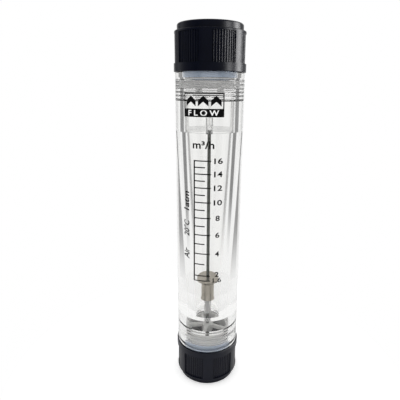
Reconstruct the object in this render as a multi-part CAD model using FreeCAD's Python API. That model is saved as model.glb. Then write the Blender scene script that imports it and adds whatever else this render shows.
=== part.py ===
import FreeCAD, Part
import math
import os

# Rotameter for air: a clear tube with a taper bore, a steel float on a guide rod,
# and at each end a union nut that clamps a pipe end piece to the tube's neck.
# Millimetres, +Z up (the direction of flow), origin at the centre of the base.
# "Lower" sizes count for both ends: the upper end is the lower one turned over.

# ---------------------------------------------------------------- driving sizes
# Clear tube, outside
TUBE_R = 19.4
TUBE_EXPOSED = 168.0     # between the mouths of the two nuts
SHOULDER_GAP = 0.4       # tube shoulder to nut mouth
NECK_R = 17.0            # root of the neck's outside thread
NECK_CHAMFER = 0.6

# Clear tube, inside, from each end towards the taper bore
SEAT_R = 15.4            # smooth seat for the end piece's nose
SEAT_PAST_NUT = 3.0      # how far the seat passes the nut's mouth
LOWER_THREAD_LENGTH = 11.0
UPPER_THREAD_LENGTH = 13.0
LOWER_CHAMBER_LENGTH = 6.4   # plain, between the thread and the taper's step
UPPER_CHAMBER_LENGTH = 16.0
CHAMBER_R = 14.2         # also the crest of the inside threads
TAPER_FOOT_R = 7.9
TAPER_TOP_R = 13.0

# Threads, all right-handed and of one pitch
THREAD_PITCH = 2.0
THREAD_FLANK = 30.0      # half angle of the V, degrees
INSIDE_THREAD_H = 1.0    # grooves for the retaining rings
INSIDE_THREAD_TIP = 0.2  # flat on the V's tip
NECK_THREAD_H = 0.6
NECK_THREAD_TIP = 0.35
NECK_THREAD_RUN = 1.0    # plain stretch at each end of a thread
THREAD_FIT = 0.2         # crest to root, neck in nut

# Union nut
NUT_LENGTH = 24.65
NUT_MOUTH_R = 20.0
NUT_MOUTH_BAND = 4.4
NUT_LAND_R = 19.6
NUT_RIB_R = 19.25
NUT_PAD_R = 18.85
NUT_BOSS_R = 18.1
NUT_BOSS_H = 3.8
NUT_BOSS_ROUND = 1.0
NUT_RIM_H = 1.1          # smooth rim between the boss and the grip pads
NUT_EDGE_ROUND = 0.35
NUT_END_WALL = 3.0
NUT_LEAD = 0.6           # chamfer at the mouth
PAD_COUNT = 6
PAD_ANGLE = 39.5
RIBS_PER_PAD = 9
RIB_SHARE = 0.6          # of the rib spacing
UPPER_NUT_TURN = 32.5    # where its first pad stands, degrees from the front
LOWER_NUT_TURN = 42.4

# End piece
PIPE_R = 10.1            # socket for a 20 mm pipe
SOCKET_DEPTH = 16.0
SOCKET_LEAD = 0.5
THROAT_R = 8.8
THROAT_H = 2.0
SPIGOT_R = 12.6          # carries the gasket, in front of the nose
SPIGOT_MOUTH_R = 11.4
BODY_R = 13.0
BODY_GAP = 0.3           # round the body in the nut's end wall
BODY_RECESS = 0.2        # body behind the nut's end face
FLANGE_R = 16.9          # passes the nut's thread
FLANGE_H = 3.0
FLANGE_GAP = 0.05        # flange to the nut's end wall
NOSE_R = 15.2
SPIGOT_GAP = 0.1         # spigot to the end of the seat

# Seals
FACE_SEAL_H = 1.8
FACE_SEAL_T = 1.2        # radial width
FACE_SEAL_GAP = 0.05     # seal to the neck's end
FACE_SEAL_FIT = 0.06     # round the nose
GASKET_H = 3.4           # pale sleeve on the spigot, seen past the nut's mouth
GASKET_FIT = 0.08        # to the tube's seat and to the spigot
GROOVE_DEPTH = 1.6
GROOVE_WIDTH = 2.2
GROOVE_OVER_SEAL = 4.0   # groove's foot above the neck's end
ORING_GAP = 0.06         # O-ring to the tube's seat

# Guide rod, float and its stops
ROD_R = 1.0
ROD_FIT = 0.06           # round the rod in every hole
FLOAT_LENGTH = 14.8
FLOAT_HEAD_R = 7.0
FLOAT_HEAD_H = 1.6
FLOAT_CONE_H = 2.4
FLOAT_BODY_R = 4.1
FLOAT_FOOT_R = 4.6
FLOAT_FOOT_H = 1.4
FLOAT_REST_H = 44.8      # float's top above the lower nut's mouth, with no flow
STOP_SLEEVE_R = 2.2
STOP_SLEEVE_LENGTH = 10.3
STOP_WASHER_R = 2.0
STOP_WASHER_H = 0.6
STOP_WASHER_GAP = 0.2    # washer to the upper hub

# Upper guide: a hub on three arms, with legs up to a ring under the retaining ring
HUB_R = 2.05
HUB_H = 8.5
HUB_DROP = 1.0           # hub's foot below the step
HUB_POCKET = 1.5         # depth of the rod's end in the hub
ARM_COUNT = 3
ARM_W = 1.4
ARM_H = 3.0
LEG_T = 1.2
TOP_RING_H = 1.6
GUIDE_FIT = 0.1
UPPER_GUIDE_TURN = 100.0

# Lower guide: a spoked disc with a deeper hub, on the lower retaining ring
DISC_H = 2.0
DISC_RIM_W = 1.6
DISC_HUB_R = 3.6
DISC_HUB_H = 5.0
SPOKE_COUNT = 5
SPOKE_W = 2.0
SPOKE_TURN = 0.0         # first spoke, degrees from the front

# Threaded retaining rings
LOWER_RING_H = 5.4
UPPER_RING_H = 6.9
RING_INSET = 0.1         # ring's outer end inside the thread's end
RING_WALL = 1.8
RING_FIT = 0.12
SLOT_W = 2.0
SLOT_H = 1.4

# Rod's fixing, in a pocket under the lower guide's hub
NUT_POCKET_R = 2.75
WASHER_R = 2.5
WASHER_H = 0.5
ROD_NUT_R = 2.3          # across the corners, halved
ROD_NUT_H = 1.6
ROD_TAIL = 0.8

# Printed scale, on the front (-Y) of the tube
INK_H = 0.12
SCALE_FOOT_H = 49.8      # lowest mark above the lower nut's mouth
SCALE_HEIGHT = 71.8      # lowest mark to highest
SCALE_FIRST = 1.6        # flow at the lowest mark, m3/h
SCALE_LAST = 16
SCALE_BEND = 0.404       # share of the flow that grows with the height squared
MARK_T = 0.5
RAIL_W = 0.75
RAIL_ANGLE = -14.0       # degrees from the front
LONG_MARK_ANGLE = 15.0
SHORT_MARK_ANGLE = 3.8
FRAME_ANGLE = 33.6       # either side of the front
FRAME_DROP = 10.6        # frame's top below the upper nut's mouth
FRAME_HEIGHT = 12.5
FRAME_LINE = 0.7
FRAME_BAR_H = 4.3

# ---------------------------------------------------------------- worked-out sizes
LOWER_MOUTH = NUT_LENGTH
UPPER_MOUTH = LOWER_MOUTH + TUBE_EXPOSED
TOTAL = UPPER_MOUTH + NUT_LENGTH
SHOULDER = LOWER_MOUTH + SHOULDER_GAP
SEAT_TOP = LOWER_MOUTH + SEAT_PAST_NUT
FLANGE_FOOT = NUT_END_WALL + FLANGE_GAP
FLANGE_TOP = FLANGE_FOOT + FLANGE_H
NECK_END = FLANGE_TOP + FACE_SEAL_H + FACE_SEAL_GAP
THREAD_TOP = SEAT_TOP + LOWER_THREAD_LENGTH
STEP_FOOT = THREAD_TOP + LOWER_CHAMBER_LENGTH
UPPER_SEAT = UPPER_MOUTH - SEAT_PAST_NUT
UPPER_THREAD = UPPER_SEAT - UPPER_THREAD_LENGTH
STEP_TOP = UPPER_THREAD - UPPER_CHAMBER_LENGTH
NUT_ROOT_R = NECK_R + NECK_THREAD_H + THREAD_FIT
HOLE_R = ROD_R + ROD_FIT
SPIGOT_TOP = SEAT_TOP - SPIGOT_GAP
SPIGOT_FOOT = SPIGOT_TOP - GASKET_H
LOWER_RING_FOOT = SEAT_TOP + RING_INSET
DISC_FOOT = LOWER_RING_FOOT + LOWER_RING_H
DISC_TOP = DISC_FOOT + DISC_H
UPPER_RING_TOP = UPPER_SEAT - RING_INSET
UPPER_RING_FOOT = UPPER_RING_TOP - UPPER_RING_H
FLOAT_TOP = LOWER_MOUTH + FLOAT_REST_H
FLOAT_BASE = FLOAT_TOP - FLOAT_LENGTH
HUB_FOOT = STEP_TOP - HUB_DROP
WASHER_FOOT = DISC_FOOT - WASHER_H
ROD_NUT_FOOT = WASHER_FOOT - ROD_NUT_H
GUIDE_R = CHAMBER_R - GUIDE_FIT
SCALE_FOOT = LOWER_MOUTH + SCALE_FOOT_H
FRAME_TOP = UPPER_MOUTH - FRAME_DROP
FRAME_FOOT = FRAME_TOP - FRAME_HEIGHT
FRONT = -90.0            # direction of -Y, degrees from +X
PAST = 1.0               # how far a cutter runs past the faces that it cuts
THREAD_SUNK = 0.15       # how far a ridge reaches into its cylinder, to join it


# ---------------------------------------------------------------- helpers
def vec(x, y, z):
    return FreeCAD.Vector(x, y, z)


def polar(radius, angle, z):
    return FreeCAD.Rotation(vec(0, 0, 1), angle).multVec(vec(radius, 0, z))


def spun(shape, angle):
    """The shape turned about the tube's axis."""
    shape.rotate(vec(0, 0, 0), vec(0, 0, 1), angle)
    return shape


def flipped(shape):
    """A lower-end shape turned over to the upper end."""
    upper = shape.copy()
    upper.rotate(vec(0, 0, TOTAL / 2), vec(1, 0, 0), 180)
    return upper


def lathe(points, sweep=360.0):
    """A solid of revolution about Z from its (radius, height) corners."""
    corners = [vec(r, 0, z) for r, z in points]
    face = Part.Face(Part.makePolygon(corners + corners[:1]))
    return face.revolve(vec(0, 0, 0), vec(0, 0, 1), sweep)


def cylinder(radius, low, high):
    return Part.makeCylinder(radius, high - low, vec(0, 0, low))


def pipe(outer, inner, low, high):
    return lathe([(inner, low), (outer, low), (outer, high), (inner, high)])


def beam(inner, outer, width, low, high, angle):
    """A radial bar with a round outer end."""
    box = Part.makeBox(outer - inner, width, high - low, vec(inner, -width / 2, low))
    return spun(box, angle).common(cylinder(outer, low, high))


def fused(shapes):
    """One solid from pieces that meet."""
    return shapes[0].fuse(shapes[1:]).removeSplitter()


def rounded(solid, edge_r, height, radius):
    """The solid with one circular edge rounded."""
    edges = [
        edge for edge in solid.Edges
        if isinstance(edge.Curve, Part.Circle)
        and abs(edge.Curve.Radius - edge_r) < 1e-6
        and abs(edge.Curve.Center.z - height) < 1e-6
    ]
    return solid.makeFillet(radius, edges)


def thread(root_r, height, tip, low, high, phase=0.0):
    """A helical ridge on a cylinder, outwards, or inwards with a negative height.

    Its middle crosses +X at whole pitches, moved up by the phase, so that all
    threads built with it are in step. Used as a cutter, it leaves a groove.
    """
    half_tip = tip / 2
    half_root = half_tip + abs(height) * math.tan(math.radians(THREAD_FLANK))
    whole_pitches = math.ceil((low + half_root - phase) / THREAD_PITCH)
    foot = whole_pitches * THREAD_PITCH + phase
    rise = high - half_root - foot
    sunk_r = root_r - math.copysign(THREAD_SUNK, height)
    corners = [
        vec(sunk_r, 0, foot - half_root),
        vec(root_r + height, 0, foot - half_tip),
        vec(root_r + height, 0, foot + half_tip),
        vec(sunk_r, 0, foot + half_root),
    ]
    helix = Part.makeHelix(THREAD_PITCH, rise, root_r)
    helix.translate(vec(0, 0, foot))
    profile = Part.Wire(Part.makePolygon(corners + corners[:1]).Edges)
    return Part.Wire(helix.Edges).makePipeShell([profile], True, True)


def inside_thread(low, high, fit=0.0):
    """The ridge of a retaining ring, or the cutter of its groove."""
    root_r = CHAMBER_R - fit
    return thread(root_r, INSIDE_THREAD_H, INSIDE_THREAD_TIP, low, high)


# ---------------------------------------------------------------- the clear tube
def neck_thread():
    low = NECK_END + NECK_THREAD_RUN
    high = SHOULDER - NECK_THREAD_RUN
    return thread(NECK_R, NECK_THREAD_H, NECK_THREAD_TIP, low, high)


def measuring_tube():
    outside = [
        (SEAT_R, NECK_END),
        (NECK_R - NECK_CHAMFER, NECK_END),
        (NECK_R, NECK_END + NECK_CHAMFER),
        (NECK_R, SHOULDER),
        (TUBE_R, SHOULDER),
    ]
    outside += [(r, TOTAL - z) for r, z in reversed(outside)]
    inside = [
        (SEAT_R, UPPER_SEAT),
        (CHAMBER_R, UPPER_SEAT),
        (CHAMBER_R, STEP_TOP),
        (TAPER_TOP_R, STEP_TOP),
        (TAPER_FOOT_R, STEP_FOOT),
        (CHAMBER_R, STEP_FOOT),
        (CHAMBER_R, SEAT_TOP),
        (SEAT_R, SEAT_TOP),
    ]
    grooves = [
        inside_thread(SEAT_TOP, THREAD_TOP),
        inside_thread(UPPER_THREAD, UPPER_SEAT),
    ]
    neck = neck_thread()
    blank = lathe(outside + inside).fuse([neck, flipped(neck)])
    return blank.cut(grooves)


# ---------------------------------------------------------------- the union ends
def grip_section(turn, z):
    """Outline across the grip pads: ribs in a recess, smooth lands between."""
    pitch = 360.0 / PAD_COUNT
    step = PAD_ANGLE / RIBS_PER_PAD
    half_rib = step * RIB_SHARE / 2
    edges = []

    def arc(radius, first, last, crest=None):
        middle = polar(crest or radius, (first + last) / 2, z)
        ends = polar(radius, first, z), polar(radius, last, z)
        edges.append(Part.Arc(ends[0], middle, ends[1]).toShape())

    def wall(first_r, last_r, angle):
        edges.append(Part.makeLine(polar(first_r, angle, z), polar(last_r, angle, z)))

    for pad in range(PAD_COUNT):
        start = turn + pad * pitch - PAD_ANGLE / 2
        end = start + PAD_ANGLE
        wall(NUT_LAND_R, NUT_PAD_R, start)
        at = start
        for rib in range(RIBS_PER_PAD):
            middle = start + (rib + 0.5) * step
            arc(NUT_PAD_R, at, middle - half_rib)
            arc(NUT_PAD_R, middle - half_rib, middle + half_rib, NUT_RIB_R)
            at = middle + half_rib
        arc(NUT_PAD_R, at, end)
        wall(NUT_PAD_R, NUT_LAND_R, end)
        arc(NUT_LAND_R, end, start + pitch)
    return Part.Face(Part.Wire(edges))


def union_nut(turn):
    rim_top = NUT_BOSS_H + NUT_RIM_H
    band_foot = NUT_LENGTH - NUT_MOUTH_BAND
    boss = rounded(cylinder(NUT_BOSS_R, 0, NUT_BOSS_H), NUT_BOSS_R, 0, NUT_BOSS_ROUND)
    rim = cylinder(NUT_LAND_R, NUT_BOSS_H, rim_top)
    rim = rounded(rim, NUT_LAND_R, NUT_BOSS_H, NUT_EDGE_ROUND)
    grip = grip_section(turn, rim_top).extrude(vec(0, 0, band_foot - rim_top))
    band = cylinder(NUT_MOUTH_R, band_foot, NUT_LENGTH)
    band = rounded(band, NUT_MOUTH_R, NUT_LENGTH, NUT_EDGE_ROUND)
    inside = lathe([
        (0, -PAST),
        (BODY_R + BODY_GAP, -PAST),
        (BODY_R + BODY_GAP, NUT_END_WALL),
        (NUT_ROOT_R, NUT_END_WALL),
        (NUT_ROOT_R, NUT_LENGTH - NUT_LEAD),
        (NUT_ROOT_R + NUT_LEAD, NUT_LENGTH),
        (NUT_ROOT_R + NUT_LEAD, NUT_LENGTH + PAST),
        (0, NUT_LENGTH + PAST),
    ])
    hollow = fused([boss, rim, grip, band]).cut(inside)
    low = NECK_END + NECK_THREAD_RUN
    high = NUT_LENGTH - NUT_LEAD - NECK_THREAD_RUN
    between = THREAD_PITCH / 2
    ridge = thread(NUT_ROOT_R, -NECK_THREAD_H, NECK_THREAD_TIP, low, high, between)
    return hollow.fuse(ridge)


def end_piece():
    socket_end = BODY_RECESS + SOCKET_DEPTH
    groove_foot = NECK_END + GROOVE_OVER_SEAL
    return lathe([
        (PIPE_R + SOCKET_LEAD, BODY_RECESS),
        (BODY_R, BODY_RECESS),
        (BODY_R, FLANGE_FOOT),
        (FLANGE_R, FLANGE_FOOT),
        (FLANGE_R, FLANGE_TOP),
        (NOSE_R, FLANGE_TOP),
        (NOSE_R, groove_foot),
        (NOSE_R - GROOVE_DEPTH, groove_foot),
        (NOSE_R - GROOVE_DEPTH, groove_foot + GROOVE_WIDTH),
        (NOSE_R, groove_foot + GROOVE_WIDTH),
        (NOSE_R, SPIGOT_FOOT),
        (SPIGOT_R, SPIGOT_FOOT),
        (SPIGOT_R, SPIGOT_TOP),
        (SPIGOT_MOUTH_R, SPIGOT_TOP),
        (THROAT_R, socket_end + THROAT_H),
        (THROAT_R, socket_end),
        (PIPE_R, socket_end),
        (PIPE_R, BODY_RECESS + SOCKET_LEAD),
    ])


def face_seal():
    """Flat ring round the nose, between the flange and the neck's end."""
    inner = NOSE_R + FACE_SEAL_FIT
    return pipe(inner + FACE_SEAL_T, inner, FLANGE_TOP, FLANGE_TOP + FACE_SEAL_H)


def port_gasket():
    """Pale sleeve round the spigot, between the nose and the retaining ring."""
    return pipe(SEAT_R - GASKET_FIT, SPIGOT_R + GASKET_FIT, SPIGOT_FOOT, SPIGOT_TOP)


def nose_seal():
    """O-ring in the nose's groove."""
    groove_r = NOSE_R - GROOVE_DEPTH
    section_r = (SEAT_R - ORING_GAP - groove_r) / 2
    middle = NECK_END + GROOVE_OVER_SEAL + GROOVE_WIDTH / 2
    return Part.makeTorus(groove_r + section_r, section_r, vec(0, 0, middle))


# ---------------------------------------------------------------- rod and float
def guide_rod():
    return cylinder(ROD_R, ROD_NUT_FOOT - ROD_TAIL, HUB_FOOT + HUB_POCKET)


def float_body():
    """A wide head that reads against the scale, on a slim body with a foot."""
    cone_top = FLOAT_TOP - FLOAT_HEAD_H
    return lathe([
        (HOLE_R, FLOAT_BASE),
        (FLOAT_FOOT_R, FLOAT_BASE),
        (FLOAT_BODY_R, FLOAT_BASE + FLOAT_FOOT_H),
        (FLOAT_BODY_R, cone_top - FLOAT_CONE_H),
        (FLOAT_HEAD_R, cone_top),
        (FLOAT_HEAD_R, FLOAT_TOP),
        (HOLE_R, FLOAT_TOP),
    ])


def lower_float_stop():
    """A sleeve pressed on the rod, under the float."""
    return pipe(STOP_SLEEVE_R, HOLE_R, FLOAT_BASE - STOP_SLEEVE_LENGTH, FLOAT_BASE)


def upper_float_stop():
    top = HUB_FOOT - STOP_WASHER_GAP
    return pipe(STOP_WASHER_R, HOLE_R, top - STOP_WASHER_H, top)


def rod_washer():
    return pipe(WASHER_R, HOLE_R, WASHER_FOOT, DISC_FOOT)


def rod_nut():
    corners = [polar(ROD_NUT_R, 60 * i, ROD_NUT_FOOT) for i in range(6)]
    hexagon = Part.Face(Part.makePolygon(corners + corners[:1]))
    prism = hexagon.extrude(vec(0, 0, ROD_NUT_H))
    return prism.cut(cylinder(HOLE_R, ROD_NUT_FOOT - PAST, WASHER_FOOT + PAST))


# ---------------------------------------------------------------- guides and rings
def upper_guide():
    hub = cylinder(HUB_R, HUB_FOOT, HUB_FOOT + HUB_H)
    ring_foot = UPPER_RING_FOOT - TOP_RING_H
    pieces = [hub, pipe(GUIDE_R, GUIDE_R - LEG_T, ring_foot, UPPER_RING_FOOT)]
    for i in range(ARM_COUNT):
        angle = UPPER_GUIDE_TURN + i * 360.0 / ARM_COUNT
        pieces.append(beam(0, GUIDE_R, ARM_W, STEP_TOP, STEP_TOP + ARM_H, angle))
        leg = beam(GUIDE_R - LEG_T, GUIDE_R, ARM_W, STEP_TOP, UPPER_RING_FOOT, angle)
        pieces.append(leg)
    pocket = cylinder(HOLE_R, HUB_FOOT - PAST, HUB_FOOT + HUB_POCKET + ROD_FIT)
    return fused(pieces).cut(pocket)


def lower_guide():
    hub_foot = DISC_TOP - DISC_HUB_H
    rim = pipe(GUIDE_R, GUIDE_R - DISC_RIM_W, DISC_FOOT, DISC_TOP)
    pieces = [rim, cylinder(DISC_HUB_R, hub_foot, DISC_TOP)]
    for i in range(SPOKE_COUNT):
        angle = FRONT + SPOKE_TURN + i * 360.0 / SPOKE_COUNT
        pieces.append(beam(0, GUIDE_R, SPOKE_W, DISC_FOOT, DISC_TOP, angle))
    hole = cylinder(HOLE_R, hub_foot - PAST, DISC_TOP + PAST)
    pocket = cylinder(NUT_POCKET_R, hub_foot - PAST, DISC_FOOT)
    return fused(pieces).cut([hole, pocket])


def retaining_ring(low, high, slot_foot):
    """A threaded ring with two slots for a spanner."""
    inner = CHAMBER_R - RING_WALL
    ring = pipe(CHAMBER_R - RING_FIT, inner, low, high)
    length = 2 * TUBE_R
    slot = Part.makeBox(length, SLOT_W, SLOT_H, vec(-length / 2, -SLOT_W / 2, slot_foot))
    return ring.fuse(inside_thread(low, high, RING_FIT)).cut(slot)


def lower_retaining_ring():
    return retaining_ring(LOWER_RING_FOOT, DISC_FOOT, LOWER_RING_FOOT)


def upper_retaining_ring():
    return retaining_ring(UPPER_RING_FOOT, UPPER_RING_TOP, UPPER_RING_TOP - SLOT_H)


# ---------------------------------------------------------------- printed scale
def ink(low, high, first, last):
    """A patch of ink between two heights and two angles from the front."""
    corners = [(TUBE_R, low), (TUBE_R + INK_H, low), (TUBE_R + INK_H, high), (TUBE_R, high)]
    return spun(lathe(corners, last - first), FRONT + first)


def arc_angle(width):
    """The angle that a width takes on the tube's outside."""
    return math.degrees(width / TUBE_R)


def mark_height(flow):
    """Height of a flow's mark above the lowest one.

    The marks close up as the bore widens: flow = (1 - bend) * share + bend * share ** 2,
    with the flow and the height both as shares of the scale.
    """
    flow_share = (flow - SCALE_FIRST) / (SCALE_LAST - SCALE_FIRST)
    straight = 1 - SCALE_BEND
    root = math.sqrt(straight ** 2 + 4 * SCALE_BEND * flow_share)
    return SCALE_HEIGHT * (root - straight) / (2 * SCALE_BEND)


def scale_ladder():
    half = MARK_T / 2
    flows = [SCALE_FIRST] + list(range(2, SCALE_LAST + 1))
    top = SCALE_FOOT + mark_height(SCALE_LAST)
    rail_end = RAIL_ANGLE + arc_angle(RAIL_W)
    pieces = [ink(SCALE_FOOT - half, top + half, RAIL_ANGLE, rail_end)]
    for flow in flows:
        z = SCALE_FOOT + mark_height(flow)
        end = SHORT_MARK_ANGLE if flow % 2 == 1 else LONG_MARK_ANGLE
        pieces.append(ink(z - half, z + half, rail_end, end))
    return fused(pieces)


def name_frame():
    bar_top = FRAME_FOOT + FRAME_BAR_H
    line = arc_angle(FRAME_LINE)
    return fused([
        ink(FRAME_FOOT, bar_top, -FRAME_ANGLE, FRAME_ANGLE),
        ink(bar_top, FRAME_TOP, -FRAME_ANGLE, line - FRAME_ANGLE),
        ink(bar_top, FRAME_TOP, FRAME_ANGLE - line, FRAME_ANGLE),
        ink(FRAME_TOP - FRAME_LINE, FRAME_TOP, line - FRAME_ANGLE, FRAME_ANGLE - line),
    ])


# ---------------------------------------------------------------- write the pieces
def build():
    piece = end_piece()
    flat_seal = face_seal()
    round_seal = nose_seal()
    gasket = port_gasket()
    return {
        "measuring_tube": measuring_tube(),
        "lower_union_nut": union_nut(FRONT + LOWER_NUT_TURN),
        "upper_union_nut": flipped(union_nut(-FRONT - UPPER_NUT_TURN)),
        "lower_end_piece": piece,
        "upper_end_piece": flipped(piece),
        "lower_face_seal": flat_seal,
        "upper_face_seal": flipped(flat_seal),
        "lower_nose_seal": round_seal,
        "upper_nose_seal": flipped(round_seal),
        "lower_port_gasket": gasket,
        "upper_port_gasket": flipped(gasket),
        "guide_rod": guide_rod(),
        "float_body": float_body(),
        "lower_float_stop": lower_float_stop(),
        "upper_float_stop": upper_float_stop(),
        "upper_guide": upper_guide(),
        "lower_guide": lower_guide(),
        "upper_retaining_ring": upper_retaining_ring(),
        "lower_retaining_ring": lower_retaining_ring(),
        "rod_washer": rod_washer(),
        "rod_nut": rod_nut(),
        "scale_ladder": scale_ladder(),
        "name_frame": name_frame(),
    }


os.makedirs("parts", exist_ok=True)
for name, shape in build().items():
    print(name, shape.isValid(), len(shape.Solids), round(shape.Volume, 1))
    shape.exportStep("parts/" + name + ".step")
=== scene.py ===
# %% [markdown]
# # A rotameter, dressed for its render
# A rotameter measures a gas flow. The gas rises through a clear tube whose bore widens
# upwards, and lifts a steel float until as much gas passes round it as comes from below.
# The scale is read at the float's head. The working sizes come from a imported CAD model,
# which is loaded first, and everything made here is fitted to it.

# %% Load the frame
import math

import bmesh
import bpy
from mathutils import Matrix, Vector


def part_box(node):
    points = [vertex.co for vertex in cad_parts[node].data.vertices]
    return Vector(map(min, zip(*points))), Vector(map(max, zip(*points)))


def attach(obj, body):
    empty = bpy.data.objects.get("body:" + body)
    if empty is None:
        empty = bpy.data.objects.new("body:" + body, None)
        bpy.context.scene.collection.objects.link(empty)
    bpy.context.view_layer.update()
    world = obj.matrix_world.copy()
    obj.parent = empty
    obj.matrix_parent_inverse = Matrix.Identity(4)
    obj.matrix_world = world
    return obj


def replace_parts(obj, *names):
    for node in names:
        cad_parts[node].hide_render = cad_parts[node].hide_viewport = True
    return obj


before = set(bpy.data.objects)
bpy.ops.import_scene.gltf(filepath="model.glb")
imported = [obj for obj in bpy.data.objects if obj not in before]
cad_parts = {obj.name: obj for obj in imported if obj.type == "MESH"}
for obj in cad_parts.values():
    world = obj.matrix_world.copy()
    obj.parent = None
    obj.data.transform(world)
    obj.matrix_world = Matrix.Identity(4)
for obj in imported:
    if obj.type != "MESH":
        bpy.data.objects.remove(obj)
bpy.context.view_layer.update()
MM = 0.001

# %% [markdown]
# ## Sizes
# Blender works in metres, and a maker's drawing in millimetres, so each size is written in
# millimetres and multiplied by MM. Heights are read from the CAD pieces, so that each new
# piece meets its neighbours. Only the steps inside the tube are given again here.

# %% Sizes
TUBE_R = 19.4 * MM
NECK_R = 17.0 * MM
SEAT_R = 15.4 * MM
CHAMBER_R = 14.2 * MM
TAPER_FOOT_R = 7.9 * MM
TAPER_TOP_R = 13.0 * MM
SEAT_PAST_NUT = 3.0 * MM
LOWER_THREAD_LENGTH = 11.0 * MM
UPPER_THREAD_LENGTH = 13.0 * MM
LOWER_CHAMBER_LENGTH = 6.4 * MM
UPPER_CHAMBER_LENGTH = 16.0 * MM

tube_low, tube_high = (corner.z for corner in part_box("measuring_tube"))
lower_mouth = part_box("lower_union_nut")[1].z
upper_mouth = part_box("upper_union_nut")[0].z
middle = (lower_mouth + upper_mouth) / 2
lower_seat = lower_mouth + SEAT_PAST_NUT
upper_seat = upper_mouth - SEAT_PAST_NUT
lower_thread_top = lower_seat + LOWER_THREAD_LENGTH
upper_thread_foot = upper_seat - UPPER_THREAD_LENGTH
step_foot = lower_thread_top + LOWER_CHAMBER_LENGTH
step_top = upper_thread_foot - UPPER_CHAMBER_LENGTH
print("taper bore, mm:", round(step_foot / MM, 1), "to", round(step_top / MM, 1))

# %% [markdown]
# ## The camera
# The camera stands a little above the tube's middle and close to it, so that the foot is
# seen steeply and the head almost level. It is 10 degrees to the right of the scale, looks
# down by 16, and keeps the small roll that a camera held by hand has. Its turns are
# multiplied as matrices, because that keeps their order plain: roll, then tip, then turn.

# %% Camera
CAMERA_AZIMUTH = math.radians(10.0)
CAMERA_DISTANCE = 224.87 * MM
CAMERA_RISE = 74.67 * MM
CAMERA_TILT = math.radians(15.98)
CAMERA_ROLL = math.radians(0.6)
CAMERA_LENS = 34.57
CAMERA_SENSOR = 36.0
CAMERA_SHIFT = -0.0215

camera_side = Vector((math.sin(CAMERA_AZIMUTH), -math.cos(CAMERA_AZIMUTH), 0))


def add_camera():
    place = camera_side * CAMERA_DISTANCE + Vector((0, 0, middle + CAMERA_RISE))
    bpy.ops.object.camera_add(location=place)
    camera = bpy.context.object
    camera.name = "camera"
    turn = Matrix.Rotation(CAMERA_AZIMUTH, 4, "Z")
    tip = Matrix.Rotation(math.pi / 2 - CAMERA_TILT, 4, "X")
    roll = Matrix.Rotation(CAMERA_ROLL, 4, "Z")
    camera.rotation_mode = "QUATERNION"
    camera.rotation_quaternion = (turn @ tip @ roll).to_quaternion()
    camera.data.lens = CAMERA_LENS
    camera.data.sensor_width = CAMERA_SENSOR
    camera.data.shift_x = CAMERA_SHIFT
    bpy.context.scene.camera = camera
    print("camera at, mm:", [round(v / MM) for v in camera.location])


add_camera()
bpy.context.scene.view_settings.view_transform = "Standard"

# %% [markdown]
# ## Colours
# Colours are picked as sRGB hex codes, as a paint shop or a web page gives them. A renderer
# adds up light, and needs linear values, so one function turns the one into the other.

# %% Colours


def colour(text):
    """An sRGB hex colour as the linear values that Blender works in."""
    values = [int(text[i:i + 2], 16) / 255 for i in (1, 3, 5)]
    linear = [v / 12.92 if v <= 0.04045 else ((v + 0.055) / 1.055) ** 2.4 for v in values]
    return (*linear, 1.0)


print("mid grey, linear:", round(colour("#808080")[0], 3))

# %% [markdown]
# ## Nodes
# A finish is a small graph of nodes: a pattern moves the colour, the gloss or the relief of
# a shader. One function adds a node, sets its options, and fills its inputs with numbers or
# with other nodes' outputs. Each pattern reads Object coordinates, which are in metres, so
# its scale is one over the real width of its marks.

# %% Nodes

# A Mix node keeps its colour sockets beside others of the same name, so they go by number.
COLOUR_A, COLOUR_B, COLOUR_OUT = 6, 7, 2


def add_node(tree, kind, settings=None, inputs=None):
    """A node with its settings, and its inputs filled with values or linked outputs."""
    node = tree.nodes.new(kind)
    for name, value in (settings or {}).items():
        setattr(node, name, value)
    for name, value in (inputs or {}).items():
        if isinstance(value, bpy.types.NodeSocket):
            tree.links.new(value, node.inputs[name])
        else:
            node.inputs[name].default_value = value
    return node


def new_material(name):
    """An empty material, its node tree and the object coordinates in it."""
    material = bpy.data.materials.new(name)
    material.use_nodes = True
    tree = material.node_tree
    tree.nodes.clear()
    return material, tree, add_node(tree, "ShaderNodeTexCoord").outputs["Object"]


def finish_material(material, tree, shader):
    """Send the shader to the surface, and say that the material is made."""
    add_node(tree, "ShaderNodeOutputMaterial", inputs={"Surface": shader.outputs[0]})
    print(material.name, len(tree.nodes), "nodes")
    return material


print("materials that came with the frame:", len(bpy.data.materials))

# %% [markdown]
# ## Clear acrylic
# The tube is cast acrylic rod, bored, turned and flame polished. Its index is 1.49, and what
# the eye sees of it is mostly what it bends: the bright room, and dark bands where a wall is
# met at a slant. The polish isn't perfect, so a slow noise, longer up the tube than across
# it as the polishing strokes are, gives it the faintest haze.

# %% Clear acrylic


def clear_acrylic():
    across, along = 9 * MM, 40 * MM
    material, tree, place = new_material("polished_clear_acrylic")
    strokes = add_node(tree, "ShaderNodeMapping", inputs={
        "Vector": place, "Scale": (1 / across, 1 / across, 1 / along)})
    haze = add_node(tree, "ShaderNodeTexNoise", inputs={
        "Vector": strokes.outputs[0], "Scale": 1.0})
    roughness = add_node(tree, "ShaderNodeMapRange", inputs={
        "Value": haze.outputs["Fac"], "To Min": 0.0, "To Max": 0.02})
    shader = add_node(tree, "ShaderNodeBsdfPrincipled", inputs={
        "Base Color": colour("#FCFCFB"),
        "Roughness": roughness.outputs[0],
        "IOR": 1.49,
        "Transmission Weight": 1.0,
    })
    return finish_material(material, tree, shader)


ACRYLIC = clear_acrylic()

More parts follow.
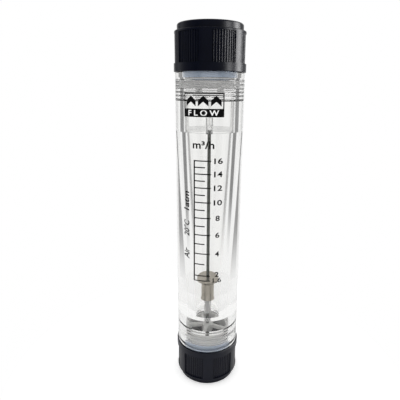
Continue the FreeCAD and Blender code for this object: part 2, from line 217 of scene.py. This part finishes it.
# %% [markdown]
# ## Black ABS
# The nuts and end pieces are moulded ABS, black with a touch of blue. Moulded skin is smooth
# but not a mirror: its gloss drifts over a few millimetres, and it has a fine grain, which is
# drawn at 0.35 mm, coarser than the real one, so that it can show at all. The specular level
# is below Blender's 0.5, so that a white room doesn't turn the black grey.

# %% Black ABS


def black_abs():
    drift_width, grain_width = 6 * MM, 0.35 * MM
    material, tree, place = new_material("moulded_black_abs")
    drift = add_node(tree, "ShaderNodeTexNoise", inputs={
        "Vector": place, "Scale": 1 / drift_width})
    grain = add_node(tree, "ShaderNodeTexNoise", inputs={
        "Vector": place, "Scale": 1 / grain_width, "Detail": 3.0})
    bump = add_node(tree, "ShaderNodeBump", inputs={
        "Height": grain.outputs["Fac"], "Strength": 0.15, "Distance": 0.03 * MM})
    tone = add_node(tree, "ShaderNodeMix", {"data_type": "RGBA"}, {
        "Factor": drift.outputs["Fac"],
        COLOUR_A: colour("#020410"),
        COLOUR_B: colour("#050A1C"),
    })
    roughness = add_node(tree, "ShaderNodeMapRange", inputs={
        "Value": drift.outputs["Fac"], "To Min": 0.26, "To Max": 0.36})
    shader = add_node(tree, "ShaderNodeBsdfPrincipled", inputs={
        "Base Color": tone.outputs[COLOUR_OUT],
        "Roughness": roughness.outputs[0],
        "Specular IOR Level": 0.22,
        "Normal": bump.outputs["Normal"],
    })
    return finish_material(material, tree, shader)


BLACK_ABS = black_abs()

# %% [markdown]
# ## Steel
# The float is turned from stainless bar and polished: the tool leaves fine rings round it,
# which draw the highlight out. The guide rod is drawn wire, darker and dull, with marks
# along its length. Both are one function with the pattern stretched another way. The marks
# are about a quarter of a millimetre wide, coarser than the real ones, so that they show.

# %% Steel


def marked_steel(name, dark, light, roughness, marks_size):
    material, tree, place = new_material(name)
    stretch = add_node(tree, "ShaderNodeMapping", inputs={
        "Vector": place, "Scale": [1 / size for size in marks_size]})
    marks = add_node(tree, "ShaderNodeTexNoise", inputs={
        "Vector": stretch.outputs[0], "Scale": 1.0, "Detail": 4.0})
    tone = add_node(tree, "ShaderNodeMix", {"data_type": "RGBA"}, {
        "Factor": marks.outputs["Fac"], COLOUR_A: colour(dark), COLOUR_B: colour(light)})
    bump = add_node(tree, "ShaderNodeBump", inputs={
        "Height": marks.outputs["Fac"], "Strength": 0.2, "Distance": 0.01 * MM})
    polish = add_node(tree, "ShaderNodeMapRange", inputs={
        "Value": marks.outputs["Fac"], "To Min": roughness - 0.06, "To Max": roughness + 0.06})
    shader = add_node(tree, "ShaderNodeBsdfPrincipled", inputs={
        "Base Color": tone.outputs[COLOUR_OUT],
        "Roughness": polish.outputs[0],
        "Metallic": 1.0,
        "Normal": bump.outputs["Normal"],
    })
    return finish_material(material, tree, shader)


TURNED_STEEL = marked_steel(
    "turned_stainless_steel", dark="#918A80", light="#BBB5AA", roughness=0.32,
    marks_size=(20 * MM, 20 * MM, 0.25 * MM))
DRAWN_STEEL = marked_steel(
    "drawn_dark_steel", dark="#4A4D4A", light="#63665F", roughness=0.42,
    marks_size=(0.3 * MM, 0.3 * MM, 12 * MM))

# %% [markdown]
# ## Milky plastics
# The small parts are natural plastics, from nylon, which is nearly white, to a guide that is
# nearly clear. Each is a pale surface with its own share of transmission. The gaskets are
# thin silicone over black plastic, and such a layer scatters back a bluish light, so they
# are tinted and have none. A moulded part's gloss is uneven, so a cloud moves its roughness.

# %% Milky plastics


def milky(name, tint, roughness, clear):
    cloud_width = 3 * MM
    material, tree, place = new_material(name)
    cloud = add_node(tree, "ShaderNodeTexNoise", inputs={
        "Vector": place, "Scale": 1 / cloud_width})
    uneven = add_node(tree, "ShaderNodeMapRange", inputs={
        "Value": cloud.outputs["Fac"], "To Min": roughness - 0.08, "To Max": roughness + 0.08})
    shader = add_node(tree, "ShaderNodeBsdfPrincipled", inputs={
        "Base Color": colour(tint),
        "Roughness": uneven.outputs[0],
        "Transmission Weight": clear,
        "IOR": 1.5,
    })
    return finish_material(material, tree, shader)


NYLON = milky("natural_nylon", "#FEFDFB", roughness=0.35, clear=0.15)
SLEEVE = milky("clear_ptfe_sleeve", "#FBFAFA", roughness=0.35, clear=0.55)
CLEAR_GUIDE = milky("frosted_clear_guide", "#FEFEFE", roughness=0.18, clear=0.9)
POLYPROPYLENE = milky("milky_polypropylene", "#FFFFFF", roughness=0.4, clear=0.1)
SILICONE = milky("milky_silicone_over_black", "#C3D2E8", roughness=0.3, clear=0.0)

# %% [markdown]
# ## Rubber and ink
# Nitrile rubber is matt and nearly black. Screen ink is a thin dry film, and isn't quite
# even: both get a fine fleck of two near tones, and little gloss.

# %% Rubber and ink


def matt(name, dark, light, roughness, fleck_width):
    material, tree, place = new_material(name)
    fleck = add_node(tree, "ShaderNodeTexNoise", inputs={
        "Vector": place, "Scale": 1 / fleck_width, "Detail": 2.0})
    tone = add_node(tree, "ShaderNodeMix", {"data_type": "RGBA"}, {
        "Factor": fleck.outputs["Fac"], COLOUR_A: colour(dark), COLOUR_B: colour(light)})
    shader = add_node(tree, "ShaderNodeBsdfPrincipled", inputs={
        "Base Color": tone.outputs[COLOUR_OUT],
        "Roughness": roughness,
        "Specular IOR Level": 0.2,
    })
    return finish_material(material, tree, shader)


RUBBER = matt("moulded_nitrile_rubber", dark="#0B0B0B", light="#191919",
              roughness=0.7, fleck_width=0.8 * MM)
BLACK_INK = matt("black_screen_ink", dark="#020203", light="#0C0C0E",
                 roughness=0.5, fleck_width=0.5 * MM)
WHITE_INK = matt("white_screen_ink", dark="#F1F1F0", light="#FCFCFB",
                 roughness=0.5, fleck_width=0.5 * MM)

# %% [markdown]
# ## Finishes for the CAD pieces
# The nuts, end pieces, seals, guides and rod have their whole shape from the CAD model, so
# each is kept as it is and only gets its finish. The tube, the float and the print are made
# anew further on, because clear plastic, a bevel and lettering need a finer mesh.

# %% Dress the CAD pieces
BLACK_PIECES = ("upper_union_nut", "lower_union_nut", "upper_end_piece", "lower_end_piece")


def dress(material, *names):
    for name in names:
        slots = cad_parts[name].data.materials
        slots.clear()
        slots.append(material)
    print(material.name, "on", ", ".join(names))


dress(BLACK_ABS, *BLACK_PIECES)
dress(RUBBER, "upper_face_seal", "lower_face_seal", "upper_nose_seal", "lower_nose_seal")
dress(SILICONE, "upper_port_gasket", "lower_port_gasket")
dress(POLYPROPYLENE, "upper_retaining_ring", "lower_retaining_ring")
dress(DRAWN_STEEL, "guide_rod", "upper_float_stop")
dress(TURNED_STEEL, "rod_washer", "rod_nut")
dress(NYLON, "lower_guide")
dress(SLEEVE, "lower_float_stop")
dress(CLEAR_GUIDE, "upper_guide")

# %% [markdown]
# ## Turning a piece
# Everything clear or turned here is round, so it is made as on a lathe. The half section is
# drawn by extruding one vertex from corner to corner and closed, and then spun about the
# tube's axis. A CAD mesh would do for its shape, but its flat facets show in clear plastic:
# a spun one has even rings of faces, which shade smoothly between the sharp corners.

# %% Lathe
SMOOTH_BELOW = math.radians(30)
DOUBLES = 0.001 * MM


def first_vertex(name, r, z):
    """A new piece with a single vertex, in edit mode."""
    bpy.ops.object.select_all(action="DESELECT")
    bpy.ops.mesh.primitive_plane_add(size=MM)
    piece = bpy.context.object
    piece.name = piece.data.name = name
    bpy.ops.object.mode_set(mode="EDIT")
    bpy.ops.mesh.merge(type="CENTER")
    bpy.ops.transform.translate(value=(r, 0, z))
    return piece


def close_section(piece):
    """Join the section's last corner to its first."""
    section = bmesh.from_edit_mesh(piece.data)
    section.verts.ensure_lookup_table()
    bpy.ops.mesh.select_all(action="DESELECT")
    for vert in (section.verts[0], section.verts[-1]):
        vert.select = True
    bmesh.update_edit_mesh(piece.data)
    bpy.ops.mesh.edge_face_add()


def lathe(name, corners, material, body, steps):
    """A turned piece, from the (radius, height) corners of its half section."""
    piece = first_vertex(name, *corners[0])
    for (r0, z0), (r1, z1) in zip(corners, corners[1:]):
        bpy.ops.mesh.extrude_region_move(
            TRANSFORM_OT_translate={"value": (r1 - r0, 0, z1 - z0)})
    close_section(piece)
    bpy.ops.mesh.select_all(action="SELECT")
    bpy.ops.mesh.spin(
        steps=steps, angle=2 * math.pi, center=(0, 0, 0), axis=(0, 0, 1),
        use_auto_merge=True)
    bpy.ops.mesh.select_all(action="SELECT")
    bpy.ops.mesh.remove_doubles(threshold=DOUBLES)
    bpy.ops.mesh.normals_make_consistent(inside=False)
    bpy.ops.object.mode_set(mode="OBJECT")
    bpy.ops.object.shade_smooth_by_angle(angle=SMOOTH_BELOW)
    piece.data.materials.append(material)
    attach(piece, body)
    print(name, len(piece.data.polygons), "faces")
    return piece


print("edges shade smoothly below, degrees:", round(math.degrees(SMOOTH_BELOW)))

# %% [markdown]
# ## Threads
# The tube has V threads: cut into its bore for the retaining rings, and standing on its
# necks for the nuts. They are turned as rings of the same V and pitch. At this size the
# climb of a real thread doesn't show, and rings keep the mesh light.

# %% Threads
THREAD_PITCH = 2.0 * MM
BORE_THREAD_DEPTH = 1.0 * MM
BORE_THREAD_FLAT = 0.1 * MM
NECK_THREAD_H = 0.6 * MM
NECK_THREAD_FLAT = 0.17 * MM
VEE_HALF_ANGLE = math.radians(30)


def vees(low, high, base, tip, flat):
    """Corners of a run of V grooves or ridges, from the base radius to the tip radius."""
    count = int((high - low) / THREAD_PITCH)
    first = (low + high - (count - 1) * THREAD_PITCH) / 2
    half = flat + abs(tip - base) * math.tan(VEE_HALF_ANGLE)
    corners = []
    for i in range(count):
        z = first + i * THREAD_PITCH
        corners += [(base, z - half), (tip, z - flat), (tip, z + flat), (base, z + half)]
    return corners


def bore_thread(low, high):
    return vees(low, high, CHAMBER_R, CHAMBER_R + BORE_THREAD_DEPTH, BORE_THREAD_FLAT)


def neck_thread(low, high):
    return vees(low, high, NECK_R, NECK_R + NECK_THREAD_H, NECK_THREAD_FLAT)


print("lower bore thread:", len(bore_thread(lower_seat, lower_thread_top)) // 4, "turns")

# %% [markdown]
# ## The measuring tube
# Outside, the tube is a plain cylinder with a thinner neck at each end for the union nut.
# Inside, from the foot up, there is a smooth seat for the end piece, a thread for the
# retaining ring, a plain chamber, the taper bore, and then a longer chamber, a thread and
# a seat again. One closed section holds both walls, so that the plastic has real thickness:
# light then bends where it enters and leaves, as it does in the real tube.

# %% Tube
TUBE_STEPS = 144
NECK_CHAMFER = 0.6 * MM
NECK_THREAD_RUN = 1.0 * MM  # plain neck at each end of its thread
SHOULDER_GAP = 0.4 * MM     # from a nut's mouth to the tube's shoulder


def tube_outside():
    lower_shoulder = lower_mouth + SHOULDER_GAP
    upper_shoulder = upper_mouth - SHOULDER_GAP
    narrow_r = NECK_R - NECK_CHAMFER
    corners = [(SEAT_R, tube_low), (narrow_r, tube_low), (NECK_R, tube_low + NECK_CHAMFER)]
    corners += neck_thread(tube_low + NECK_THREAD_RUN, lower_shoulder - NECK_THREAD_RUN)
    corners += [(NECK_R, lower_shoulder), (TUBE_R, lower_shoulder)]
    corners += [(TUBE_R, upper_shoulder), (NECK_R, upper_shoulder)]
    corners += neck_thread(upper_shoulder + NECK_THREAD_RUN, tube_high - NECK_THREAD_RUN)
    corners += [(NECK_R, tube_high - NECK_CHAMFER), (narrow_r, tube_high), (SEAT_R, tube_high)]
    return corners


def tube_inside():
    corners = [(SEAT_R, lower_seat), (CHAMBER_R, lower_seat)]
    corners += bore_thread(lower_seat, lower_thread_top)
    corners += [(CHAMBER_R, step_foot), (TAPER_FOOT_R, step_foot)]
    corners += [(TAPER_TOP_R, step_top), (CHAMBER_R, step_top)]
    corners += bore_thread(upper_thread_foot, upper_seat)
    corners += [(CHAMBER_R, upper_seat), (SEAT_R, upper_seat)]
    return corners


tube = lathe("clear_tube", tube_outside() + tube_inside()[::-1], ACRYLIC, "body", TUBE_STEPS)
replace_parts(tube, "measuring_tube")

# %% [markdown]
# ## The float
# The float is one turned piece: a broad head that reads against the scale, a cone, a slim
# body and a small foot. Its corners are broken by a bevel, because even a polished edge is
# never knife sharp, and the bevel is what catches the light.

# %% Float
FLOAT_STEPS = 96
FLOAT_HOLE_R = 1.06 * MM
FLOAT_HEAD_R = 7.0 * MM
FLOAT_HEAD_H = 1.6 * MM
FLOAT_CONE_H = 2.4 * MM
FLOAT_BODY_R = 4.1 * MM
FLOAT_FOOT_R = 4.6 * MM
FLOAT_FOOT_H = 1.4 * MM
FLOAT_BEVEL = 0.15 * MM


def steel_float():
    float_low, float_high = (corner.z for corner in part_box("float_body"))
    cone_top = float_high - FLOAT_HEAD_H
    piece = lathe("steel_float", [
        (FLOAT_HOLE_R, float_low),
        (FLOAT_FOOT_R, float_low),
        (FLOAT_BODY_R, float_low + FLOAT_FOOT_H),
        (FLOAT_BODY_R, cone_top - FLOAT_CONE_H),
        (FLOAT_HEAD_R, cone_top),
        (FLOAT_HEAD_R, float_high),
        (FLOAT_HOLE_R, float_high),
    ], TURNED_STEEL, "float", FLOAT_STEPS)
    bpy.ops.object.modifier_add(type="BEVEL")
    bevel = piece.modifiers[-1]
    bevel.width = FLOAT_BEVEL
    bevel.segments = 2
    bevel.limit_method = "ANGLE"
    bpy.ops.object.modifier_apply(modifier=bevel.name)
    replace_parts(piece, "float_body")


steel_float()

# %% [markdown]
# ## Printing on a round tube
# The scale is screen printed on the front. Artwork is easiest to draw flat, with x along
# the surface and y up, and is then bent round the tube: x becomes an angle. The flat mesh
# needs a vertex every half millimetre or so, or its faces would cut into the tube. It
# stands just off the surface, as a thick ink film does.

# %% Bend artwork round the tube
INK_LIFT = 0.05 * MM
BEND_STEP = 0.5 * MM


def along(degrees):
    """How far an angle from the front is along the tube's surface."""
    return math.radians(degrees) * TUBE_R


def wrap(piece, material, lift=INK_LIFT):
    """Bend flat artwork round the tube's front, and hand it to the tube."""
    for vert in piece.data.vertices:
        angle = vert.co.x / TUBE_R
        r = TUBE_R + lift
        vert.co = Vector((r * math.sin(angle), -r * math.cos(angle), vert.co.y))
    piece.data.update()
    piece.data.materials.clear()
    piece.data.materials.append(material)
    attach(piece, "body")
    print(piece.name, len(piece.data.vertices), "points")
    return piece


def flat_bars(name, boxes):
    """Flat bars, each (left angle, right angle, low, high), cut fine enough to bend."""
    bpy.ops.object.select_all(action="DESELECT")
    made = []
    for left, right, low, high in boxes:
        width = along(right) - along(left)
        cuts = max(2, int(width / BEND_STEP))
        bpy.ops.mesh.primitive_grid_add(x_subdivisions=cuts, y_subdivisions=1, size=1)
        bar = bpy.context.object
        bar.scale = (width, high - low, 1)
        bar.location = (along((left + right) / 2), (low + high) / 2, 0)
        bpy.ops.object.transform_apply()
        made.append(bar)
    for bar in made:
        bar.select_set(True)
    bpy.context.view_layer.objects.active = made[0]
    if len(made) > 1:
        bpy.ops.object.join()
    piece = bpy.context.object
    piece.name = piece.data.name = name
    return piece


print("one step turns, degrees:", round(math.degrees(BEND_STEP / TUBE_R), 1))

# %% [markdown]
# ## The scale
# The marks close up towards the top, because the bore widens steadily and the free area
# grows faster than the height. A mark's height follows from its flow by solving
# flow = (1 - bend) * share + bend * share squared. Even marks are long and carry a number.

# %% Scale ladder
SCALE_FOOT = lower_mouth + 49.8 * MM
SCALE_HEIGHT = 71.8 * MM
SCALE_FIRST = 1.6
SCALE_LAST = 16
SCALE_BEND = 0.404
MARK_T = 0.65 * MM
RAIL_ANGLE = -15.6  # degrees from the front, as the next three are
MARK_ANGLE = -13.2
SHORT_MARK_ANGLE = 3.8
LONG_MARK_ANGLE = 13.6


def mark_height(flow):
    share = (flow - SCALE_FIRST) / (SCALE_LAST - SCALE_FIRST)
    straight = 1 - SCALE_BEND
    root = math.sqrt(straight ** 2 + 4 * SCALE_BEND * share)
    return SCALE_FOOT + SCALE_HEIGHT * (root - straight) / (2 * SCALE_BEND)


def ladder():
    half = MARK_T / 2
    boxes = [(RAIL_ANGLE, MARK_ANGLE, SCALE_FOOT - half, mark_height(SCALE_LAST) + half)]
    for flow in [SCALE_FIRST] + list(range(2, SCALE_LAST + 1)):
        z = mark_height(flow)
        end = SHORT_MARK_ANGLE if flow % 2 == 1 else LONG_MARK_ANGLE
        boxes.append((MARK_ANGLE, end, z - half, z + half))
    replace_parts(wrap(flat_bars("printed_ladder", boxes), BLACK_INK), "scale_ladder")


ladder()

# %% [markdown]
# ## Lettering
# Text starts as a font curve. It is made a mesh, stretched to the width and height that the
# print has, and bent round the tube like the rest. A small outward offset makes it bold:
# too much would make the curve of a small 6 cross itself, and lose its fill.

# %% Lettering


def lettering(name, words, width, height, angle, z, bold, upright=True, slant=0.0,
              material=BLACK_INK, lift=INK_LIFT):
    """Words of a given width and height, centred at an angle from the front."""
    bpy.ops.object.select_all(action="DESELECT")
    bpy.ops.object.text_add()
    text = bpy.context.object
    text.data.body = words
    text.data.size = height
    text.data.offset = bold
    text.data.shear = slant
    bpy.ops.object.convert(target="MESH")
    piece = bpy.context.object
    piece.name = piece.data.name = name
    corners = [Vector(corner) for corner in piece.bound_box]
    low, high = corners[0], corners[6]
    for vert in piece.data.vertices:
        vert.co.x = ((vert.co.x - low.x) / (high.x - low.x) - 0.5) * width
        vert.co.y = ((vert.co.y - low.y) / (high.y - low.y) - 0.5) * height
    if not upright:
        piece.rotation_euler.z = math.pi / 2
    piece.location = (along(angle), z, 0)
    bpy.ops.object.transform_apply()
    return wrap(piece, material, lift)


print("letters stand off the tube, mm:", INK_LIFT / MM)

# %% [markdown]
# ## Numbers
# Each long mark has its number to the right, centred on the mark. The 1.6 and the 2 stand
# close together, so the 1.6 is a little less tall, and the 2 is raised to clear it.

# %% Numbers
NUMERAL_ANGLE = 25.6
NUMERAL_H = 3.2 * MM
ONE_DIGIT_W = 2.5 * MM
TWO_DIGITS_W = 4.9 * MM
LIFT_OF_2 = 0.9 * MM
LIFT_OF_1_6 = 0.3 * MM


def numerals():
    for flow in (16, 14, 12, 10, 8, 6, 4, 2):
        width = TWO_DIGITS_W if flow >= 10 else ONE_DIGIT_W
        z = mark_height(flow) + (LIFT_OF_2 if flow == 2 else 0)
        lettering("numeral_%d" % flow, str(flow), width, NUMERAL_H, NUMERAL_ANGLE, z,
                  bold=0.08 * MM)
    lettering("numeral_1.6", "1.6", width=5.3 * MM, height=3.0 * MM, angle=26.3,
              z=SCALE_FOOT + LIFT_OF_1_6, bold=0.055 * MM)


numerals()

# %% [markdown]
# ## Unit and reference conditions
# The unit stands over the scale. A gas meter holds for one gas at one temperature and
# pressure only, and these three are printed up the left side, in slanted letters.

# %% Unit and conditions
CONDITIONS_ANGLE = -30.2


def conditions():
    lettering("unit", "m³/h", width=12.0 * MM, height=4.2 * MM, angle=0.6,
              z=middle + 46.3 * MM, bold=0.1 * MM)
    for name, words, length, height, rise in (
        ("air", "Air", 6.6, 4.1, -18.0),
        ("temperature", "20°C", 9.8, 4.2, -2.2),
        ("pressure", "1atm", 11.4, 4.0, 14.1),
    ):
        lettering("condition_" + name, words, length * MM, height * MM, CONDITIONS_ANGLE,
                  middle + rise * MM, bold=0.09 * MM, upright=False, slant=0.15)


conditions()

# %% [markdown]
# ## The name frame
# Above the scale, such a meter has a framed field with a solid bar at its foot, where its
# maker would print a name. This one has no maker, so the field holds three arrowheads that
# point the way the gas flows, and the bar says what the meter reads. The sides and the top
# are thin bars that meet edge to edge, so no ink lies twice on the tube.

# %% Name frame
FRAME_TOP = upper_mouth - 10.6 * MM
FRAME_FOOT = FRAME_TOP - 12.5 * MM
BAR_TOP = FRAME_FOOT + 4.3 * MM
FRAME_LINE = 0.7 * MM
FRAME_ANGLE = 33.6


def name_frame():
    inner_angle = FRAME_ANGLE - math.degrees(FRAME_LINE / TUBE_R)
    frame_piece = flat_bars("printed_frame", [
        (-FRAME_ANGLE, FRAME_ANGLE, FRAME_FOOT, BAR_TOP),
        (-FRAME_ANGLE, -inner_angle, BAR_TOP, FRAME_TOP),
        (inner_angle, FRAME_ANGLE, BAR_TOP, FRAME_TOP),
        (-inner_angle, inner_angle, FRAME_TOP - FRAME_LINE, FRAME_TOP),
    ])
    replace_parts(wrap(frame_piece, BLACK_INK), "name_frame")


name_frame()

# %% [markdown]
# ## What the frame holds
# One arrowhead is a level bar whose middle is pushed up to a point. The other two are
# copies of it, turned about the tube's axis, each with a mesh of its own. The word in the
# bar stands a little further out than the bar's own ink, so that it isn't hidden in it.

# %% Arrowheads and word
ARROW_ANGLE = 20.5
ARROW_HALF_ANGLE = 8.4
ARROW_T = 3.0 * MM
ARROW_SLOPE = 0.85
ARROW_FOOT = BAR_TOP + 1.2 * MM


def arrowheads():
    piece = flat_bars("arrowhead_0", [(
        -ARROW_ANGLE - ARROW_HALF_ANGLE, -ARROW_ANGLE + ARROW_HALF_ANGLE,
        ARROW_FOOT, ARROW_FOOT + ARROW_T)])
    for vert in piece.data.vertices:
        from_middle = abs(vert.co.x - along(-ARROW_ANGLE))
        vert.co.y += (along(ARROW_HALF_ANGLE) - from_middle) * ARROW_SLOPE
    wrap(piece, BLACK_INK)
    for name in ("arrowhead_1", "arrowhead_2"):
        bpy.ops.object.duplicate()
        copy = bpy.context.object
        copy.name = copy.data.name = name
        copy.rotation_euler.z = math.radians(ARROW_ANGLE)
        bpy.ops.object.transform_apply()


arrowheads()
lettering("bar_word", "F L O W", width=17.0 * MM, height=2.9 * MM, angle=0.0,
          z=(FRAME_FOOT + BAR_TOP) / 2, bold=0.06 * MM, material=WHITE_INK,
          lift=INK_LIFT + 0.03 * MM)

# %% [markdown]
# ## The floor
# The meter stands on white paper in a white room. The paper really is lit, so that it keeps
# the meter's shadow, and then a little light of its own makes it white for the rays that
# look at it. The camera's rays get most of this. Rays that come by a reflection or through
# the acrylic get a trace, so that they see the paper nearly as bright as the room.

# %% Floor
FLOOR_R = 0.13
CAMERA_LIFT = 0.35
LOOK_LIFT = 0.03


def rays_that_look(tree):
    """One for camera, glossy and transmission rays, and the Light Path they come from."""
    path = add_node(tree, "ShaderNodeLightPath")
    seen = add_node(tree, "ShaderNodeMath", {"operation": "ADD"}, {
        0: path.outputs["Is Camera Ray"], 1: path.outputs["Is Glossy Ray"]})
    looks = add_node(tree, "ShaderNodeMath", {"operation": "ADD", "use_clamp": True}, {
        0: seen.outputs[0], 1: path.outputs["Is Transmission Ray"]})
    return looks.outputs[0], path


def white_paper():
    material, tree, place = new_material("white_paper")
    looks, path = rays_that_look(tree)
    trace = add_node(tree, "ShaderNodeMath", {"operation": "MULTIPLY"}, {
        0: looks, 1: LOOK_LIFT})
    strength = add_node(tree, "ShaderNodeMath", {"operation": "MULTIPLY_ADD"}, {
        0: path.outputs["Is Camera Ray"], 1: CAMERA_LIFT, 2: trace.outputs[0]})
    glow = add_node(tree, "ShaderNodeEmission", inputs={
        "Color": colour("#FFFFFF"), "Strength": strength.outputs[0]})
    paper = add_node(tree, "ShaderNodeBsdfDiffuse", inputs={"Color": colour("#F4F4F4")})
    both = add_node(tree, "ShaderNodeAddShader", inputs={
        0: glow.outputs[0], 1: paper.outputs[0]})
    return finish_material(material, tree, both)


def add_floor():
    bpy.ops.object.select_all(action="DESELECT")
    bpy.ops.mesh.primitive_circle_add(vertices=96, radius=FLOOR_R, fill_type="NGON")
    floor = bpy.context.object
    floor.name = "floor"
    floor.data.materials.append(white_paper())


add_floor()

# %% [markdown]
# ## The room
# Clear plastic shows its shape only by what it bends, and in an all white room it would
# vanish. So the room, white at level 1 for diffuse light and for the camera, has four dim
# upright screens for the rays that come through the acrylic or by a reflection. They stand
# at 45 degrees to the view and fade out above and below the horizon. A direct reflection,
# such as on the black plastic, also sees a dimmer room on the camera's side, because the
# room that a meter is looked at from is darker than the white paper behind it.

# %% Room
SCREEN_LEVEL = 0.22
FRONT_LEVEL = 0.2
ROOM_LEVEL = 0.95
SCREEN_COUNT = 4.0


def upright_screens(tree, bearing):
    """The room's level by bearing: a wave with one dip for each screen."""
    turned = add_node(tree, "ShaderNodeMath", {"operation": "SUBTRACT"}, {
        0: bearing, 1: math.pi / 2 + CAMERA_AZIMUTH})
    waves = add_node(tree, "ShaderNodeMath", {"operation": "MULTIPLY"}, {
        0: turned.outputs[0], 1: SCREEN_COUNT})
    wave = add_node(tree, "ShaderNodeMath", {"operation": "COSINE"}, {0: waves.outputs[0]})
    return add_node(tree, "ShaderNodeMapRange", {"interpolation_type": "SMOOTHSTEP"}, {
        "Value": wave.outputs[0], "From Min": -0.8, "From Max": -0.35,
        "To Min": SCREEN_LEVEL, "To Max": ROOM_LEVEL}).outputs[0]


def near_horizon_only(tree, height, screens):
    """The screens near the horizon, and the plain room above and below."""
    rise = add_node(tree, "ShaderNodeMath", {"operation": "ABSOLUTE"}, {0: height})
    fade = add_node(tree, "ShaderNodeMapRange", {"interpolation_type": "SMOOTHSTEP"}, {
        "Value": rise.outputs[0], "From Min": 0.32, "From Max": 0.5})
    return add_node(tree, "ShaderNodeMix", {"data_type": "FLOAT"}, {
        "Factor": fade.outputs[0], "A": screens, "B": ROOM_LEVEL}).outputs[0]


def dimmer_front(tree, direction, path):
    """One everywhere, but less on the camera's side for a direct reflection."""
    toward = add_node(tree, "ShaderNodeVectorMath", {"operation": "DOT_PRODUCT"}, {
        0: direction, 1: camera_side})
    side = add_node(tree, "ShaderNodeMapRange", {"interpolation_type": "SMOOTHSTEP"}, {
        "Value": toward.outputs["Value"], "From Min": -0.6, "From Max": 0.2,
        "To Min": 1.0, "To Max": FRONT_LEVEL})
    direct = add_node(tree, "ShaderNodeMath", {"operation": "SUBTRACT", "use_clamp": True}, {
        0: path.outputs["Is Glossy Ray"], 1: path.outputs["Is Transmission Ray"]})
    return add_node(tree, "ShaderNodeMix", {"data_type": "FLOAT"}, {
        "Factor": direct.outputs[0], "A": 1.0, "B": side.outputs[0]}).outputs[0]


def add_room():
    world = bpy.data.worlds.new("white_room")
    bpy.context.scene.world = world
    world.use_nodes = True
    tree = world.node_tree
    tree.nodes.clear()
    direction = add_node(tree, "ShaderNodeTexCoord").outputs["Generated"]
    split = add_node(tree, "ShaderNodeSeparateXYZ", inputs={"Vector": direction})
    bearing = add_node(tree, "ShaderNodeMath", {"operation": "ARCTAN2"}, {
        0: split.outputs["Y"], 1: split.outputs["X"]})
    looks, path = rays_that_look(tree)
    screens = upright_screens(tree, bearing.outputs[0])
    room = add_node(tree, "ShaderNodeMath", {"operation": "MULTIPLY"}, {
        0: near_horizon_only(tree, split.outputs["Z"], screens),
        1: dimmer_front(tree, direction, path)})
    indirect = add_node(tree, "ShaderNodeMath", {"operation": "SUBTRACT", "use_clamp": True}, {
        0: looks, 1: path.outputs["Is Camera Ray"]})
    level = add_node(tree, "ShaderNodeMix", {"data_type": "FLOAT"}, {
        "Factor": indirect.outputs[0], "A": 1.0, "B": room.outputs[0]})
    back = add_node(tree, "ShaderNodeBackground", inputs={
        "Color": colour("#FFFFFF"), "Strength": level.outputs[0]})
    add_node(tree, "ShaderNodeOutputWorld", inputs={"Surface": back.outputs[0]})
    print("room:", len(tree.nodes), "nodes")


add_room()

# %% [markdown]
# ## Softboxes
# Two tall softboxes on the right draw the bright upright streaks on the black nuts and
# their ribs. They are linked to the black plastic alone and show only in its reflections,
# so they change neither the colours nor the white of the room.

# %% Softboxes
black_plastic = bpy.data.collections.new("black_plastic")
for name in BLACK_PIECES:
    black_plastic.objects.link(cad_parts[name])


def add_softbox(name, place, width, height, power):
    """An upright lamp, aimed at the tube's middle. Its place and sides are in metres."""
    bpy.ops.object.light_add(type="AREA", location=place)
    lamp = bpy.context.object
    lamp.name = name
    lamp.data.shape = "RECTANGLE"
    lamp.data.size = width
    lamp.data.size_y = height
    lamp.data.energy = power
    lamp.visible_diffuse = False
    lamp.visible_transmission = False
    lamp.light_linking.receiver_collection = black_plastic
    aim = Vector((0, 0, middle)) - Vector(place)
    lamp.rotation_mode = "QUATERNION"
    lamp.rotation_quaternion = aim.to_track_quat("-Z", "Y")
    print(name, power, "W")


add_softbox("right_softbox", (0.75, 0.27, 0.2), width=0.3, height=0.8, power=11)
add_softbox("near_softbox", (0.76, -0.25, 0.25), width=0.2, height=0.7, power=4.5)
